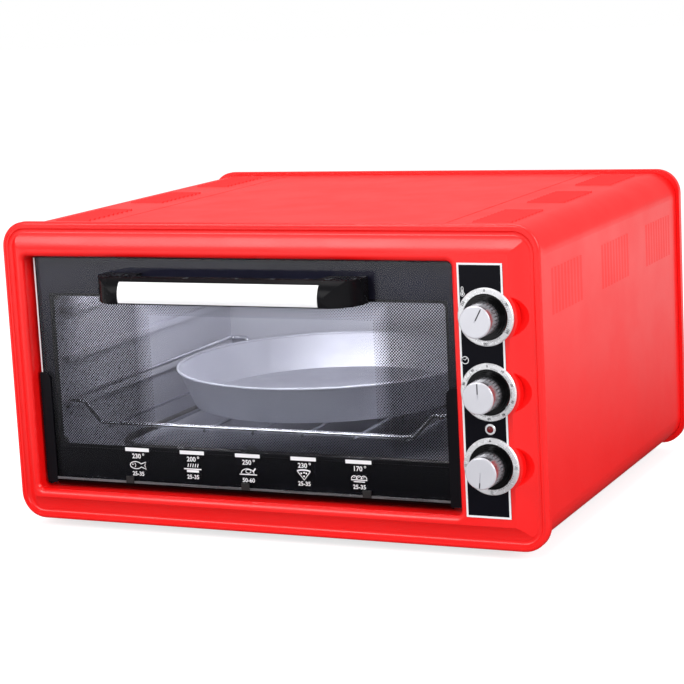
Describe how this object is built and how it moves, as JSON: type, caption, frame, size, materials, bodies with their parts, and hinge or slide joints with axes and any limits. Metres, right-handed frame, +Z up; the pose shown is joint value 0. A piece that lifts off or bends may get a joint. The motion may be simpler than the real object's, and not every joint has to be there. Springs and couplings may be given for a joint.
{
  "type": "electric oven",
  "caption": "Countertop electric oven: drop-down glass door with bar handle, turning knobs beside it, louvred casing, wire rack and round baking tray inside.",
  "frame": {"origin": "middle of the oven's bounding box, on the surface that the oven stands on", "axes": "+X to the oven's right as seen from the front, +Y to the back, +Z up; the door faces -Y"},
  "size_m": [0.526, 0.4676, 0.289],
  "materials": {
    "red_paint": "gloss",
    "black_paint": "gloss",
    "galvanised_steel": "satin",
    "liner_enamel": "satin",
    "zinc_plate": "satin",
    "spring_steel": "satin",
    "label_film": "gloss",
    "dial_plate": "polished",
    "knob_plating": "polished",
    "black_plastic": "satin",
    "white_insert": "gloss",
    "door_glass": "clear, printed black at the edges",
    "clear_glass": "clear",
    "heater_tube": "dull",
    "ceramic": "dull",
    "bakelite": "satin",
    "copper": "dull",
    "bell_steel": "polished",
    "lamp_lens": "gloss",
    "rack_chrome": "polished",
    "tray_aluminium": "satin",
    "foot_rubber": "matt",
    "nylon": "satin",
    "rail_aluminium": "satin"
  },
  "bodies": {
    "casing": {"front_frame": "red_paint", "outer_wrap": "red_paint", "rear_frame": "red_paint", "back_panel": "galvanised_steel", "base_panel": "galvanised_steel", "heat_shield": "galvanised_steel", "control_bracket": "galvanised_steel", "oven_liner": "liner_enamel", "rear_screws": "zinc_plate", "foot_screws": "zinc_plate", "foot_nuts": "zinc_plate", "control_screws": "zinc_plate", "hinge_brackets": "zinc_plate", "heater_clips": "zinc_plate", "bulb_clips": "zinc_plate", "door_springs": "spring_steel", "control_label": "label_film", "temperature_dial": "dial_plate", "timer_dial": "dial_plate", "function_dial": "dial_plate", "thermostat_body": "ceramic", "timer_body": "zinc_plate", "timer_bell": "bell_steel", "function_switch": "bakelite", "thermostat_bulb": "copper", "pilot_lamp_bezel": "dial_plate", "pilot_lamp_lens": "lamp_lens", "pilot_lamp_body": "nylon", "cord_gland": "nylon", "terminal_block": "nylon", "feet": "foot_rubber", "top_heater": "heater_tube", "bottom_heater": "heater_tube", "heater_bushes": "ceramic"},
    "door": {"door_glass": "door_glass", "inner_glass": "clear_glass", "door_bottom_rail": "rail_aluminium", "left_door_strap": "black_paint", "right_door_strap": "black_paint", "door_inner_frame": "black_paint", "pane_clips": "zinc_plate", "rail_clips": "nylon", "handle": "black_plastic", "handle_strip": "white_insert", "handle_screws": "zinc_plate", "hinge_pins": "zinc_plate"},
    "rack": {"wire_rack": "rack_chrome"},
    "tray": {"baking_tray": "tray_aluminium"},
    "thermostat_control": {"thermostat_knob": "knob_plating", "thermostat_shaft": "zinc_plate"},
    "timer_control": {"timer_knob": "knob_plating", "timer_shaft": "zinc_plate"},
    "function_control": {"function_knob": "knob_plating", "function_shaft": "zinc_plate"}
  },
  "joints": [
    {"name": "door_hinge", "type": "hinge", "parent": "casing", "child": "door", "pos_m": [-0.0282, -0.1867, 0.045], "axis": [1, 0, 0], "range_deg": [0, 90], "stiffness_Nm_per_rad": 0.5, "springref_deg": -34.38},
    {"name": "rack_slide", "type": "slide", "parent": "casing", "child": "rack", "axis": [0, -1, 0], "range_m": [-0.007, 0.006]},
    {"name": "tray_lift", "type": "slide", "parent": "rack", "child": "tray", "axis": [0, 0, 1], "range_m": [0, 0.04]},
    {"name": "thermostat_turn", "type": "hinge", "parent": "casing", "child": "thermostat_control", "pos_m": [0.215, -0.2022, 0.21145], "axis": [0, 1, 0], "range_deg": [-28, 272]},
    {"name": "timer_turn", "type": "hinge", "parent": "casing", "child": "timer_control", "pos_m": [0.215, -0.2022, 0.14725], "axis": [0, 1, 0], "range_deg": [0, 330]},
    {"name": "function_turn", "type": "hinge", "parent": "casing", "child": "function_control", "pos_m": [0.215, -0.2022, 0.08305], "axis": [0, 1, 0], "range_deg": [-186, 84]}
  ]
}
